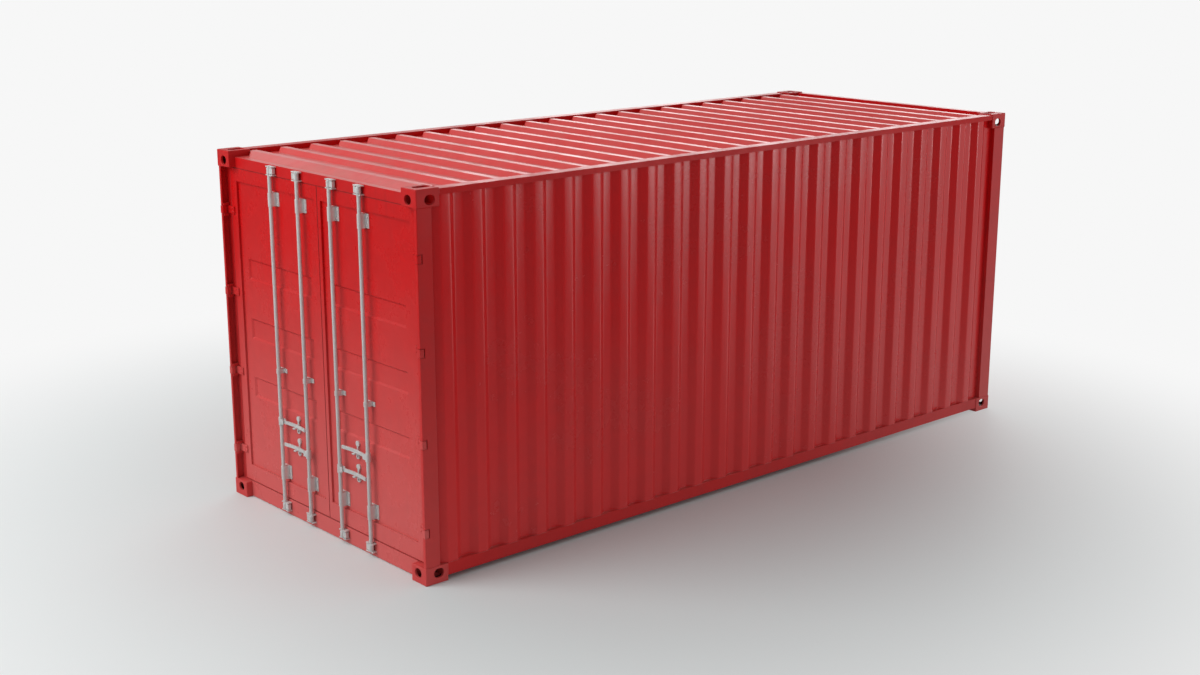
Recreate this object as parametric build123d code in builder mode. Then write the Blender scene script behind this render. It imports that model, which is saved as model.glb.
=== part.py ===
from build123d import *
from math import atan2, degrees, sqrt
import os

os.makedirs("parts", exist_ok=True)

# Overall size of the container, doors at the low end of X
length = 6058.0
width = 2438.0
height = 2591.0
overrun = 20.0  # how far a cutting shape runs past what it cuts

# Corner castings
casting_length = 178.0
casting_width = 162.0
casting_height = 118.0
casting_wall = 16.0
casting_plate = 28.0
casting_back_wall = 10.0
casting_chamfer = 4.0
hole_from_end = 102.5  # hole centres from the container's end
hole_from_side = 89.5  # and from its side
hole_width = 63.5
long_hole_length = 124.0
side_hole_length = 79.0
end_hole_length = 72.0
side_hole_height = 71.0  # hole centre from the outer top or bottom face

# Door posts, folded around a pocket for the hinges
post_front_setback = 4.0
post_side_setback = 6.0
post_width = 56.0
post_depth = 113.0
post_sheet = 6.0
post_lip_width = 25.0
post_corner_rounding = 5.0
hinge_pocket_depth = 52.0

# Front posts
front_post_depth = 130.0
front_post_sheet = 4.5

# Door leaves
door_face_depth = 55.0  # from the container's end to the leaf's front face
door_thickness = 50.0
door_gap = 8.0
door_play = 8.0  # between a leaf and the sill or header
door_tube_wall = 4.0
gap_stile_width = 34.0
hinge_stile_width = 79.0
bottom_rail_width = 119.0
top_rail_drop = 92.0
panel_recess = 15.0
panel_sheet = 2.0

# Pressed channels across each door panel
channel_count = 3
channel_pitch = 439.0
channel_drop = 4.5  # middle channel below the panel's middle
channel_height = 152.0
channel_near_margin = 97.0
channel_far_margin = 88.0
channel_depth = 12.0
channel_slope = 14.0

# Rubber seals around the leaves
seal_width = 10.0
seal_clearance = 5.0
seal_height = 3.0
seal_setback = 4.0
seal_thickness = 25.0
seal_groove = 8.0

# Hinges
hinge_lowest = 356.0
hinge_from_top = 435.0
hinge_count = 4
pin_depth = 18.0  # pin axis from the container's end
pin_from_side = 20.0  # and from its side
pin_radius = 6.0
pin_play = 0.4
knuckle_size = 34.0  # square block around the pin
knuckle_rounding = 6.0
knuckle_height = 56.0
knuckle_end_play = 0.5
lug_height = 19.0
lug_chamfer = 5.0
pin_head = 4.0
blade_thickness = 8.0
blade_bend = 20.0
blade_lap = 42.0  # how far a blade reaches over the leaf
notch_play = 2.5

# Sill, header and end rails
sill_depth = 50.0  # from the container's end to the sill's front face
sill_bottom = 5.0
sill_top = 120.0
sill_back = 150.0
sill_step = 112.0
beam_sheet = 6.0
header_height = 73.0
header_back = 130.0
header_sheet = 4.0
front_rail_setback = 8.0
front_rail_depth = 76.0
front_top_rail_setback = 4.0
front_top_rail_size = 60.0
front_top_rail_wall = 4.0

# Side rails
bottom_rail_bottom = 35.0
bottom_rail_flange = 53.0
bottom_rail_sheet = 6.0
top_rail_drop_from_top = 8.0
top_rail_setback = 4.0
top_rail_height = 40.0
top_rail_width = 90.0
top_rail_wall = 4.0

# Corrugated walls
corrugation_outer_flat = 74.0
corrugation_slope = 52.0
corrugation_depth = 36.0
corrugation_bend = 12.0
wall_sheet = 2.0
side_corrugations = 23
door_end_strip = 16.0  # plain sheet beside the door post
front_end_strip = 106.4  # and beside the front post
front_corrugations = 9
front_wall_strip = 66.8
front_wall_setback = 16.0

# Roof
roof_sheet_thickness = 2.0
ridge_count = 23
first_ridge_setback = 216.0  # ridge centres from the container's ends
last_ridge_setback = 245.0
ridge_top_width = 52.0
ridge_slope = 36.0
ridge_height = 32.0
ridge_end_margin = 14.0  # between a ridge's foot and the rail
ridge_end_slope = 17.0
ridge_hip_length = 57.0  # how far a ridge's foot is cut back along its side
hip_top_share = 0.15  # size of the same cut at the ridge's top
first_ridge_run = 90.0  # the long slope that rises from the header
first_ridge_hip = 168.0  # how far its foot is cut back at each end

# Floor
floor_underside = 127.0
floor_thickness = 28.0
floor_panel_count = 8
floor_panel_gap = 3.0
floor_side_clearance = 2.0
floor_end_clearance = 3.0
crossmember_count = 19
crossmember_end_margin = 151.0
crossmember_bottom = 25.0
crossmember_flange = 45.0
crossmember_sheet = 4.0

# Lock rods
rod_depth = 26.0  # rod axis from the container's end
rod_radius = 13.6
rod_wall = 3.5
rod_tail = 29.0  # rod end below the lower cam's middle
rod_tip = 33.5  # rod end above the upper cam's middle
inner_rod_from_gap = 196.0
outer_rod_from_hinge = 591.0
upper_handle_height = 710.0
lower_handle_height = 545.0

# Cams on the rod ends and the keepers that hold them
cam_radius = 17.6
cam_height = 40.0
cam_reach = 50.0
cam_arm_thickness = 14.0
cam_hook_length = 12.0
cam_hook_depth = 9.0
cam_clearance = 5.0
keeper_sheet = 8.0
keeper_reach = 34.0
keeper_long_side = 50.0
keeper_short_side = 30.0
keeper_rod_play = 3.0
bottom_keeper_centre = 69.0

# Rod brackets on the doors
bracket_plate = 5.0
bracket_half_width = 45.0
bracket_sleeve = 17.6
bracket_play = 0.5
top_bracket_margin = 17.0  # from the panel's top edge
top_bracket_height = 95.0
bottom_bracket_margin = 24.0  # from the panel's bottom edge
bottom_bracket_height = 100.0
middle_bracket_drop = 6.5  # below the middle between two channels
middle_bracket_height = 32.0
bracket_bolt_radius = 7.0
bracket_bolt_height = 6.0
bracket_bolt_offset = 33.0
bracket_bolt_margin = 20.0

# Rod hubs and handles
hub_radius = 18.5
hub_height = 58.0
fork_reach = 46.0
fork_height = 40.0
fork_sheet = 5.0
handle_play = 1.0
handle_eye_thickness = 16.0
handle_eye_radius = 13.0
handle_pivot_offset = 34.0
handle_pin_radius = 5.0
handle_pin_play = 0.3
handle_tip_clearance = 36.0
handle_bow = 12.0
handle_tip_setback = 1.0
handle_thickness = 10.0
handle_height = 24.0

# Catches that hold the handles
catch_plate = 12.0
catch_lobe_radius = 20.0
catch_lobe_rise = 46.0
catch_waist = 16.0
catch_ring_radius = 19.0
catch_ring_drop = 44.0
catch_ring_hole = 8.0
ledge_gap = 2.0
ledge_sheet = 8.0
ledge_width = 24.0
ledge_reach = 40.0

# Places that several pieces share
door_end = -length / 2
front_end = length / 2
side = width / 2
hole_reach_long = length / 2 - hole_from_end
hole_reach_across = side - hole_from_side
casting_inner_y = side - casting_width
casting_inner_x = length / 2 - casting_length
post_height = height - 2 * casting_height
post_front = door_end + post_front_setback
post_back = post_front + post_depth
post_outer = side - post_side_setback
pocket_back = post_front + post_sheet + hinge_pocket_depth
jamb = post_outer - post_width
door_edge = jamb - seal_width - seal_clearance
top_rail_top = height - top_rail_drop_from_top
top_rail_bottom = top_rail_top - top_rail_height
top_rail_outer = side - top_rail_setback
top_rail_inner = top_rail_outer - top_rail_width
header_bottom = top_rail_bottom - header_height
front_post_back = front_end - post_front_setback - front_post_depth
door_face = door_end + door_face_depth
panel_face = door_face + panel_recess
leaf_free_edge = door_gap / 2
leaf_width = door_edge - leaf_free_edge
leaf_centre = -(door_edge + leaf_free_edge) / 2
door_bottom = sill_top + door_play
door_top = header_bottom - door_play
leaf_height = door_top - door_bottom
leaf_middle = (door_top + door_bottom) / 2
panel_near = leaf_free_edge + gap_stile_width
panel_far = door_edge - hinge_stile_width
panel_bottom = door_bottom + bottom_rail_width
panel_top = door_top - top_rail_drop
panel_width = panel_far - panel_near
panel_centre = -(panel_far + panel_near) / 2
panel_height = panel_top - panel_bottom
panel_middle = (panel_top + panel_bottom) / 2
channel_near = panel_near + channel_near_margin
channel_far = panel_far - channel_far_margin
channel_middle = panel_middle - channel_drop
pin_x = door_end + pin_depth
pin_offset = side - pin_from_side
notch_back = pin_x + knuckle_size / sqrt(2)
rod_x = door_end + rod_depth
inner_rod_offset = leaf_free_edge + inner_rod_from_gap
outer_rod_offset = door_edge - outer_rod_from_hinge
catch_offset = (inner_rod_offset + outer_rod_offset) / 2
sill_front = door_end + sill_depth
top_keeper_centre = header_bottom + header_height / 2
hinge_pitch = (height - hinge_from_top - hinge_lowest) / (hinge_count - 1)
hinge_heights = [hinge_lowest + index * hinge_pitch for index in range(hinge_count)]
roof_top = top_rail_bottom + roof_sheet_thickness
foot_reach = top_rail_inner - ridge_end_margin


def corrugated_face(start, finish, start_strip, finish_strip, count, outer_level):
    """Points along one face of a corrugated sheet, as (along, across) pairs."""
    wave = corrugation_outer_flat + 2 * corrugation_slope
    pitch = (finish - start - start_strip - finish_strip - wave) / (count - 1)
    inner_level = outer_level - corrugation_depth
    points = [(start, inner_level)]
    for index in range(count):
        flat_start = start + start_strip + corrugation_slope + index * pitch
        flat_finish = flat_start + corrugation_outer_flat
        points.append((flat_start - corrugation_slope, inner_level))
        points.append((flat_start, outer_level))
        points.append((flat_finish, outer_level))
        points.append((flat_finish + corrugation_slope, inner_level))
    points.append((finish, inner_level))
    return points


def hipped_outline(half_width, reach, hip_width, hip_length):
    """Corners of a ridge's outline from above, a long rectangle with its corners cut off."""
    quarter = [(half_width, reach - hip_length), (half_width - hip_width, reach)]
    left = quarter + [(-x, y) for x, y in reversed(quarter)]
    return left + [(x, -y) for x, y in reversed(left)]


def roof_ridge(shell):
    """A cross ridge of the roof as a solid, drawn in all round by the shell for its hollow."""
    foot = hipped_outline(
        ridge_top_width / 2 + ridge_slope - shell,
        foot_reach - shell,
        ridge_slope,
        ridge_hip_length,
    )
    crest = hipped_outline(
        ridge_top_width / 2 - shell,
        foot_reach - ridge_end_slope - shell,
        hip_top_share * ridge_slope,
        hip_top_share * ridge_hip_length,
    )
    with BuildPart() as ridge:
        for level, outline in ((0, foot), (ridge_height, crest)):
            with BuildSketch(Plane.XY.offset(level)):
                with BuildLine():
                    Polyline(*outline, close=True)
                make_face()
        loft()
    return ridge.part


# One corner casting, at the door end, right side, bottom
with BuildPart() as casting:
    with BuildSketch(Plane.XY):
        with Locations(((casting_length - length) / 2, (casting_width - width) / 2)):
            Rectangle(casting_length, casting_width)
    extrude(amount=casting_height)
    chamfer(casting.edges(), casting_chamfer)
    # hollow inside
    with BuildSketch(Plane.XY.offset(casting_plate)):
        with Locations((door_end + casting_wall, casting_wall - side)):
            Rectangle(
                casting_length - casting_wall - casting_back_wall,
                casting_width - casting_wall - casting_back_wall,
                align=(Align.MIN, Align.MIN),
            )
    extrude(amount=casting_height - casting_plate - casting_back_wall, mode=Mode.SUBTRACT)
    # long hole through the outer plate
    with BuildSketch(Plane.XY):
        with Locations((-hole_reach_long, -hole_reach_across)):
            SlotOverall(long_hole_length, hole_width)
    extrude(amount=casting_plate + overrun, mode=Mode.SUBTRACT)
    # hole through the long side
    with BuildSketch(Plane.XZ.offset(side)):
        with Locations((-hole_reach_long, side_hole_height)):
            SlotOverall(side_hole_length, hole_width)
    extrude(amount=-casting_wall - overrun, mode=Mode.SUBTRACT)
    # hole through the end
    with BuildSketch(Plane.YZ.offset(door_end)):
        with Locations((-hole_reach_across, side_hole_height)):
            SlotOverall(end_hole_length, hole_width)
    extrude(amount=casting_wall + overrun, mode=Mode.SUBTRACT)

# The same casting mirrored to all eight corners
for end_name in ("door", "front"):
    for side_name in ("right", "left"):
        for level_name in ("bottom", "top"):
            with BuildPart() as corner_casting:
                add(casting.part)
                if end_name == "front":
                    mirror(about=Plane.YZ, mode=Mode.REPLACE)
                if side_name == "left":
                    mirror(about=Plane.XZ, mode=Mode.REPLACE)
                if level_name == "top":
                    mirror(about=Plane.XY.offset(height / 2), mode=Mode.REPLACE)
            casting_name = f"corner_casting_{end_name}_{side_name}_{level_name}"
            corner_casting.part.label = casting_name
            export_step(corner_casting.part, f"parts/{casting_name}.step")

# Door post, with a front lip, a hinge pocket and a closed tube behind it
with BuildPart() as door_post_right:
    with BuildSketch(Plane.XY.offset(casting_height)):
        with BuildLine():
            Polyline(
                (post_front, -post_outer),
                (post_back, -post_outer),
                (post_back, -jamb),
                (pocket_back, -jamb),
                (pocket_back, post_sheet - post_outer),
                (post_front + post_sheet, post_sheet - post_outer),
                (post_front + post_sheet, post_lip_width - post_outer),
                (post_front, post_lip_width - post_outer),
                close=True,
            )
        make_face()
    extrude(amount=post_height)
    outer_corner = door_post_right.edges().filter_by(Axis.Z).group_by(Axis.X)[0].sort_by(Axis.Y)[0]
    fillet(outer_corner, post_corner_rounding)
    with BuildSketch(Plane.XY.offset(casting_height)):
        with Locations((pocket_back + post_sheet, post_sheet - post_outer)):
            Rectangle(
                post_back - pocket_back - 2 * post_sheet,
                post_outer - jamb - 2 * post_sheet,
                align=(Align.MIN, Align.MIN),
            )
    extrude(amount=post_height, mode=Mode.SUBTRACT)
    # notches that let the hinge blades swing round to the side
    for hinge_height in hinge_heights:
        with BuildSketch(Plane.XY.offset(hinge_height - knuckle_height / 2 - notch_play)):
            with Locations((post_front - overrun, -post_outer - overrun)):
                Rectangle(
                    notch_back - post_front + overrun,
                    post_lip_width + 2 * overrun,
                    align=(Align.MIN, Align.MIN),
                )
        extrude(amount=knuckle_height + 2 * notch_play, mode=Mode.SUBTRACT)
door_post_right.part.label = "door_post_right"
export_step(door_post_right.part, "parts/door_post_right.step")

with BuildPart() as door_post_left:
    add(door_post_right.part)
    mirror(about=Plane.XZ, mode=Mode.REPLACE)
door_post_left.part.label = "door_post_left"
export_step(door_post_left.part, "parts/door_post_left.step")

# Hinge lugs welded into the post's pocket, with the pins through them
with BuildPart() as hinge_lugs_right:
    for hinge_height in hinge_heights:
        for lug_bottom in (
            hinge_height + knuckle_height / 2,
            hinge_height - knuckle_height / 2 - lug_height,
        ):
            with BuildSketch(Plane.XY.offset(lug_bottom)) as lug_plan:
                with Locations((post_front + post_sheet, post_sheet - post_outer)):
                    Rectangle(
                        hinge_pocket_depth,
                        post_outer - post_sheet - pin_offset + knuckle_size / 2,
                        align=(Align.MIN, Align.MIN),
                    )
                chamfer(lug_plan.vertices().group_by(Axis.Y)[-1], lug_chamfer)
            extrude(amount=lug_height)
        pin_bottom = hinge_height - knuckle_height / 2 - lug_height - pin_head
        with BuildSketch(Plane.XY.offset(pin_bottom)):
            with Locations((pin_x, -pin_offset)):
                Circle(pin_radius)
        extrude(amount=knuckle_height + 2 * lug_height + 2 * pin_head)
hinge_lugs_right.part.label = "hinge_lugs_right"
export_step(hinge_lugs_right.part, "parts/hinge_lugs_right.step")

with BuildPart() as hinge_lugs_left:
    add(hinge_lugs_right.part)
    mirror(about=Plane.XZ, mode=Mode.REPLACE)
hinge_lugs_left.part.label = "hinge_lugs_left"
export_step(hinge_lugs_left.part, "parts/hinge_lugs_left.step")

# Front post, a closed tube
with BuildPart() as front_post_right:
    with BuildSketch(Plane.XY.offset(casting_height)):
        with Locations((front_post_back, -post_outer)):
            Rectangle(front_post_depth, post_outer - jamb, align=(Align.MIN, Align.MIN))
        with Locations((front_post_back + front_post_sheet, front_post_sheet - post_outer)):
            Rectangle(
                front_post_depth - 2 * front_post_sheet,
                post_outer - jamb - 2 * front_post_sheet,
                align=(Align.MIN, Align.MIN),
                mode=Mode.SUBTRACT,
            )
    extrude(amount=post_height)
front_post_right.part.label = "front_post_right"
export_step(front_post_right.part, "parts/front_post_right.step")

with BuildPart() as front_post_left:
    add(front_post_right.part)
    mirror(about=Plane.XZ, mode=Mode.REPLACE)
front_post_left.part.label = "front_post_left"
export_step(front_post_left.part, "parts/front_post_left.step")

# Door sill, a folded channel with a step that carries the floor's edge
with BuildPart() as door_sill:
    with BuildSketch(Plane.XZ.offset(-casting_inner_y)):
        with BuildLine():
            Polyline(
                (sill_front, sill_bottom),
                (sill_front, sill_top),
                (door_end + sill_step, sill_top),
                (door_end + sill_step, floor_underside),
                (door_end + sill_back, floor_underside),
                (door_end + sill_back, floor_underside - beam_sheet),
                (door_end + sill_step + beam_sheet, floor_underside - beam_sheet),
                (door_end + sill_step + beam_sheet, sill_top - beam_sheet),
                (sill_front + beam_sheet, sill_top - beam_sheet),
                (sill_front + beam_sheet, sill_bottom + beam_sheet),
                (door_end + sill_back, sill_bottom + beam_sheet),
                (door_end + sill_back, sill_bottom),
                close=True,
            )
        make_face()
    extrude(amount=2 * casting_inner_y)
door_sill.part.label = "door_sill"
export_step(door_sill.part, "parts/door_sill.step")

# Door header, a tube with the roof sheet lapped over it
with BuildPart() as door_header:
    with BuildSketch(Plane.XZ.offset(-casting_inner_y)):
        with Locations((sill_front, header_bottom)):
            Rectangle(header_back - sill_depth, header_height, align=(Align.MIN, Align.MIN))
        with Locations((sill_front + header_sheet, header_bottom + header_sheet)):
            Rectangle(
                header_back - sill_depth - 2 * header_sheet,
                header_height - 2 * header_sheet,
                align=(Align.MIN, Align.MIN),
                mode=Mode.SUBTRACT,
            )
    extrude(amount=2 * casting_inner_y)
door_header.part.label = "door_header"
export_step(door_header.part, "parts/door_header.step")

# Front bottom rail, a channel open to the inside
with BuildPart() as front_bottom_rail:
    with BuildSketch(Plane.XZ.offset(-casting_inner_y)):
        with Locations((front_end - front_rail_setback, sill_bottom)):
            Rectangle(front_rail_depth, sill_top - sill_bottom, align=(Align.MAX, Align.MIN))
        with Locations((front_end - front_rail_setback - beam_sheet, sill_bottom + beam_sheet)):
            Rectangle(
                front_rail_depth,
                sill_top - sill_bottom - 2 * beam_sheet,
                align=(Align.MAX, Align.MIN),
                mode=Mode.SUBTRACT,
            )
    extrude(amount=2 * casting_inner_y)
front_bottom_rail.part.label = "front_bottom_rail"
export_step(front_bottom_rail.part, "parts/front_bottom_rail.step")

# Front top rail, a square tube
with BuildPart() as front_top_rail:
    with BuildSketch(Plane.XZ.offset(-casting_inner_y)):
        rail_middle_x = front_end - front_top_rail_setback - front_top_rail_size / 2
        rail_middle_z = top_rail_top - front_top_rail_size / 2
        with Locations((rail_middle_x, rail_middle_z)):
            Rectangle(front_top_rail_size, front_top_rail_size)
            Rectangle(
                front_top_rail_size - 2 * front_top_rail_wall,
                front_top_rail_size - 2 * front_top_rail_wall,
                mode=Mode.SUBTRACT,
            )
    extrude(amount=2 * casting_inner_y)
front_top_rail.part.label = "front_top_rail"
export_step(front_top_rail.part, "parts/front_top_rail.step")

# Bottom side rail, a channel open to the inside
with BuildPart() as bottom_rail_right:
    with BuildSketch(Plane.YZ.offset(-casting_inner_x)):
        with Locations((-post_outer, bottom_rail_bottom)):
            Rectangle(
                bottom_rail_flange,
                sill_top - bottom_rail_bottom,
                align=(Align.MIN, Align.MIN),
            )
        with Locations((bottom_rail_sheet - post_outer, bottom_rail_bottom + bottom_rail_sheet)):
            Rectangle(
                bottom_rail_flange,
                sill_top - bottom_rail_bottom - 2 * bottom_rail_sheet,
                align=(Align.MIN, Align.MIN),
                mode=Mode.SUBTRACT,
            )
    extrude(amount=2 * casting_inner_x)
bottom_rail_right.part.label = "bottom_rail_right"
export_step(bottom_rail_right.part, "parts/bottom_rail_right.step")

with BuildPart() as bottom_rail_left:
    add(bottom_rail_right.part)
    mirror(about=Plane.XZ, mode=Mode.REPLACE)
bottom_rail_left.part.label = "bottom_rail_left"
export_step(bottom_rail_left.part, "parts/bottom_rail_left.step")

# Top side rail, a flat tube
with BuildPart() as top_rail_right:
    with BuildSketch(Plane.YZ.offset(-casting_inner_x)):
        with Locations((-top_rail_outer, top_rail_bottom)):
            Rectangle(
                top_rail_outer - top_rail_inner,
                top_rail_top - top_rail_bottom,
                align=(Align.MIN, Align.MIN),
            )
        with Locations((top_rail_wall - top_rail_outer, top_rail_bottom + top_rail_wall)):
            Rectangle(
                top_rail_outer - top_rail_inner - 2 * top_rail_wall,
                top_rail_top - top_rail_bottom - 2 * top_rail_wall,
                align=(Align.MIN, Align.MIN),
                mode=Mode.SUBTRACT,
            )
    extrude(amount=2 * casting_inner_x)
top_rail_right.part.label = "top_rail_right"
export_step(top_rail_right.part, "parts/top_rail_right.step")

with BuildPart() as top_rail_left:
    add(top_rail_right.part)
    mirror(about=Plane.XZ, mode=Mode.REPLACE)
top_rail_left.part.label = "top_rail_left"
export_step(top_rail_left.part, "parts/top_rail_left.step")

# Corrugated side wall, from the bottom rail to the top rail
with BuildPart() as side_wall_right:
    outer_face = corrugated_face(
        post_back, front_post_back, door_end_strip, front_end_strip, side_corrugations, post_outer
    )
    outer_points = [(along, -across) for along, across in outer_face]
    inner_points = [(along, wall_sheet - across) for along, across in outer_face]
    with BuildSketch(Plane.XY.offset(sill_top)) as side_plan:
        with BuildLine():
            Polyline(*outer_points, *reversed(inner_points), close=True)
        make_face()
        fillet(side_plan.vertices().sort_by(Axis.X)[2:-2], corrugation_bend)
    extrude(amount=top_rail_bottom - sill_top)
    # room for the top corner castings
    with BuildSketch(Plane.XY.offset(height - casting_height)):
        with Locations((post_back, -post_outer)):
            Rectangle(
                -casting_inner_x - post_back, corrugation_depth + overrun, align=(Align.MIN, Align.MIN)
            )
        with Locations((casting_inner_x, -post_outer)):
            Rectangle(
                front_post_back - casting_inner_x,
                corrugation_depth + overrun,
                align=(Align.MIN, Align.MIN),
            )
    extrude(amount=casting_height, mode=Mode.SUBTRACT)
side_wall_right.part.label = "side_wall_right"
export_step(side_wall_right.part, "parts/side_wall_right.step")

with BuildPart() as side_wall_left:
    add(side_wall_right.part)
    mirror(about=Plane.XZ, mode=Mode.REPLACE)
side_wall_left.part.label = "side_wall_left"
export_step(side_wall_left.part, "parts/side_wall_left.step")

# Corrugated front wall between the front posts
with BuildPart() as front_wall:
    front_face = corrugated_face(
        -jamb,
        jamb,
        front_wall_strip,
        front_wall_strip,
        front_corrugations,
        front_end - front_wall_setback,
    )
    outer_points = [(across, along) for along, across in front_face]
    inner_points = [(across - wall_sheet, along) for along, across in front_face]
    with BuildSketch(Plane.XY.offset(sill_top)) as front_plan:
        with BuildLine():
            Polyline(*outer_points, *reversed(inner_points), close=True)
        make_face()
        fillet(front_plan.vertices().sort_by(Axis.Y)[2:-2], corrugation_bend)
    extrude(amount=top_rail_top - front_top_rail_size - sill_top)
    with BuildSketch(Plane.XY.offset(height - casting_height)):
        for corner_y in (casting_inner_y, -jamb):
            with Locations((front_end, corner_y)):
                Rectangle(casting_width, jamb - casting_inner_y, align=(Align.MAX, Align.MIN))
    extrude(amount=casting_height, mode=Mode.SUBTRACT)
front_wall.part.label = "front_wall"
export_step(front_wall.part, "parts/front_wall.step")


# Roof sheet with ridges pressed up across it, the first with a long slope up from the header
ridge_outside = roof_ridge(0)
ridge_hollow = roof_ridge(roof_sheet_thickness)
with BuildPart() as roof_sheet:
    roof_front = front_end - front_top_rail_setback - front_top_rail_size
    with BuildSketch(Plane.XY.offset(top_rail_bottom)):
        Rectangle(2 * casting_inner_x, 2 * top_rail_inner)
        with Locations((sill_front, 0)):
            Rectangle(
                roof_front - sill_front, 2 * casting_inner_y, align=(Align.MIN, Align.CENTER)
            )
    extrude(amount=roof_sheet_thickness)
    first_centre = door_end + first_ridge_setback
    last_centre = front_end - last_ridge_setback
    ridge_pitch = (last_centre - first_centre) / (ridge_count - 1)
    first_foot = first_centre - ridge_top_width / 2 - first_ridge_run
    for foot_z, shell, ridge, ridge_mode in (
        (roof_top, 0, ridge_outside, Mode.ADD),
        (top_rail_bottom, roof_sheet_thickness, ridge_hollow, Mode.SUBTRACT),
    ):
        with Locations(((first_centre + ridge_pitch + last_centre) / 2, 0, foot_z)):
            with GridLocations(ridge_pitch, 0, ridge_count - 1, 1):
                add(ridge, mode=ridge_mode)
        with BuildSketch(Plane.XY.offset(foot_z)):
            first_rear = first_centre + ridge_top_width / 2 + ridge_slope
            with BuildLine():
                Polyline(
                    (first_foot + shell, first_ridge_hip + shell - foot_reach),
                    (first_rear - shell, shell - foot_reach),
                    (first_rear - shell, foot_reach - shell),
                    (first_foot + shell, foot_reach - shell - first_ridge_hip),
                    close=True,
                )
            make_face()
        with BuildSketch(Plane.XY.offset(foot_z + ridge_height)):
            with Locations((first_centre, 0)):
                Rectangle(
                    ridge_top_width - 2 * shell, 2 * (foot_reach - ridge_slope) - 2 * shell
                )
        loft(mode=ridge_mode)
roof_sheet.part.label = "roof_sheet"
export_step(roof_sheet.part, "parts/roof_sheet.step")

# Floor panels laid across the crossmembers
with BuildPart() as floor_boards:
    floor_start = door_end + sill_step
    floor_finish = front_end - front_wall_setback - corrugation_depth - wall_sheet - floor_end_clearance
    panel_pitch = (floor_finish - floor_start + floor_panel_gap) / floor_panel_count
    with BuildSketch(Plane.XY.offset(floor_underside)):
        with Locations(((floor_start + floor_finish) / 2, 0)):
            with GridLocations(panel_pitch, 0, floor_panel_count, 1):
                Rectangle(panel_pitch - floor_panel_gap, 2 * (jamb - floor_side_clearance))
    extrude(amount=floor_thickness)
floor_boards.part.label = "floor_boards"
export_step(floor_boards.part, "parts/floor_boards.step")

# Floor crossmembers, channels between the bottom side rails
with BuildPart() as crossmembers:
    crossmember_height = floor_underside - crossmember_bottom
    crossmember_span = 2 * (casting_inner_x - crossmember_end_margin)
    crossmember_pitch = crossmember_span / (crossmember_count - 1)
    crossmember_reach = post_outer - bottom_rail_flange
    with BuildSketch(Plane.XZ.offset(-crossmember_reach)):
        with Locations((0, crossmember_bottom)):
            with GridLocations(crossmember_pitch, 0, crossmember_count, 1):
                Rectangle(
                    crossmember_flange, crossmember_height, align=(Align.CENTER, Align.MIN)
                )
        with Locations((crossmember_sheet, crossmember_bottom + crossmember_sheet)):
            with GridLocations(crossmember_pitch, 0, crossmember_count, 1):
                Rectangle(
                    crossmember_flange,
                    crossmember_height - 2 * crossmember_sheet,
                    align=(Align.CENTER, Align.MIN),
                    mode=Mode.SUBTRACT,
                )
    extrude(amount=2 * crossmember_reach)
crossmembers.part.label = "crossmembers"
export_step(crossmembers.part, "parts/crossmembers.step")

# The rods from left to right: place across, side that cam and handle point to, handle height
rod_places = (
    (outer_rod_offset, -1, upper_handle_height),
    (inner_rod_offset, 1, lower_handle_height),
    (-inner_rod_offset, -1, lower_handle_height),
    (-outer_rod_offset, 1, upper_handle_height),
)

# Keepers, pairs of forked plates above and below each cam
with BuildPart() as cam_keepers:
    keeper_gap = cam_height + 2 * cam_clearance
    keeper_shift = (keeper_long_side - keeper_short_side) / 2
    for keeper_centre in (bottom_keeper_centre, top_keeper_centre):
        for plate_bottom in (
            keeper_centre + keeper_gap / 2,
            keeper_centre - keeper_gap / 2 - keeper_sheet,
        ):
            with BuildSketch(Plane.XY.offset(plate_bottom)):
                for rod_y, reach_sign, handle_z in rod_places:
                    with Locations((sill_front, rod_y + reach_sign * keeper_shift)):
                        Rectangle(
                            keeper_reach,
                            keeper_long_side + keeper_short_side,
                            align=(Align.MAX, Align.CENTER),
                        )
                    with Locations((rod_x, rod_y)):
                        Circle(rod_radius + keeper_rod_play, mode=Mode.SUBTRACT)
                        Rectangle(
                            keeper_reach,
                            2 * (rod_radius + keeper_rod_play),
                            align=(Align.MAX, Align.CENTER),
                            mode=Mode.SUBTRACT,
                        )
            extrude(amount=keeper_sheet)
cam_keepers.part.label = "cam_keepers"
export_step(cam_keepers.part, "parts/cam_keepers.step")

# Right door frame, a ring of hollow tubes with a groove for the seal at the free edge
with BuildPart() as door_frame_right:
    with BuildSketch(Plane.YZ.offset(door_face)):
        with Locations((leaf_centre, leaf_middle)):
            Rectangle(leaf_width, leaf_height)
        with Locations((panel_centre, panel_middle)):
            Rectangle(panel_width, panel_height, mode=Mode.SUBTRACT)
    extrude(amount=door_thickness)
    with BuildSketch(Plane.YZ.offset(door_face + door_tube_wall)):
        with Locations((leaf_centre - seal_groove / 2, leaf_middle)):
            Rectangle(
                leaf_width - seal_groove - 2 * door_tube_wall, leaf_height - 2 * door_tube_wall
            )
        with Locations((panel_centre, panel_middle)):
            Rectangle(
                panel_width + 2 * door_tube_wall,
                panel_height + 2 * door_tube_wall,
                mode=Mode.SUBTRACT,
            )
    extrude(amount=door_thickness - 2 * door_tube_wall, mode=Mode.SUBTRACT)
    with BuildSketch(Plane.YZ.offset(door_face + seal_setback)):
        with Locations((-leaf_free_edge, leaf_middle)):
            Rectangle(seal_groove, leaf_height, align=(Align.MAX, Align.CENTER))
    extrude(amount=seal_thickness, mode=Mode.SUBTRACT)

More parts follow.
